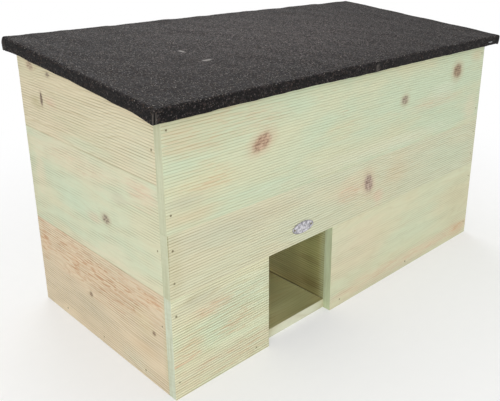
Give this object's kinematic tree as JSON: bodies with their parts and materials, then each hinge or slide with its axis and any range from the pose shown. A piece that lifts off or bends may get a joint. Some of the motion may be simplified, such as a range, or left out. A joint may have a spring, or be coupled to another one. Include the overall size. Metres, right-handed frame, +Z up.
{
  "type": "hedgehog house",
  "caption": "Long timber box with a square entrance low in the front, a partition inside, and a sloping felted roof hinged at the back, for a hedgehog to nest in.",
  "frame": {"origin": "middle of the box's footprint, on the ground under the floor", "axes": "+Z up, +X to the right along the front wall, -Y out of the front with the entrance"},
  "size_m": [0.615, 0.3086, 0.3504],
  "materials": {
    "treated_pine": "pale green pressure-treated pine, planed, straight raised grain with a few knots",
    "inner_pine": "the same pine inside the box, duller and more yellow-brown",
    "plywood": "plain plywood, seen from below",
    "roofing_felt": "bitumen felt with fine charcoal mineral granules, matt",
    "nail_steel": "dull dark steel nail heads",
    "hinge_steel": "zinc-plated pressed steel",
    "badge_metal": "satin silver plate with a darker raised rim, left plain"
  },
  "bodies": {
    "box": {"front_top_board": "treated_pine", "front_middle_board": "treated_pine", "front_left_board": "treated_pine", "front_right_board": "treated_pine", "back_bottom_board": "treated_pine", "back_middle_board": "treated_pine", "back_top_board": "treated_pine", "left_bottom_board": "treated_pine", "left_middle_board": "treated_pine", "left_top_board": "treated_pine", "right_bottom_board": "treated_pine", "right_middle_board": "treated_pine", "right_top_board": "treated_pine", "floor_front_board": "inner_pine", "floor_middle_board": "inner_pine", "floor_back_board": "inner_pine", "partition_lower_board": "inner_pine", "partition_upper_board": "inner_pine", "front_left_batten": "inner_pine", "front_right_batten": "inner_pine", "back_left_batten": "inner_pine", "back_right_batten": "inner_pine", "front_nails": "nail_steel", "back_nails": "nail_steel", "end_nails": "nail_steel", "floor_nails": "nail_steel", "partition_nails": "nail_steel", "badge_plate": "badge_metal", "badge_pins": "nail_steel", "left_hinge_wall_leaf": "hinge_steel", "right_hinge_wall_leaf": "hinge_steel", "left_hinge_pin": "hinge_steel", "right_hinge_pin": "hinge_steel", "hinge_wall_screws": "hinge_steel"},
    "lid": {"roof_panel": "plywood", "roof_felt": "roofing_felt", "felt_staples": "hinge_steel", "left_hinge_roof_leaf": "hinge_steel", "right_hinge_roof_leaf": "hinge_steel", "hinge_roof_screws": "hinge_steel"}
  },
  "joints": [
    {"name": "roof_lift", "type": "hinge", "parent": "box", "child": "lid", "pos_m": [0, 0.14685, 0.33914], "axis": [-1, 0, 0], "range_deg": [0, 175]}
  ]
}
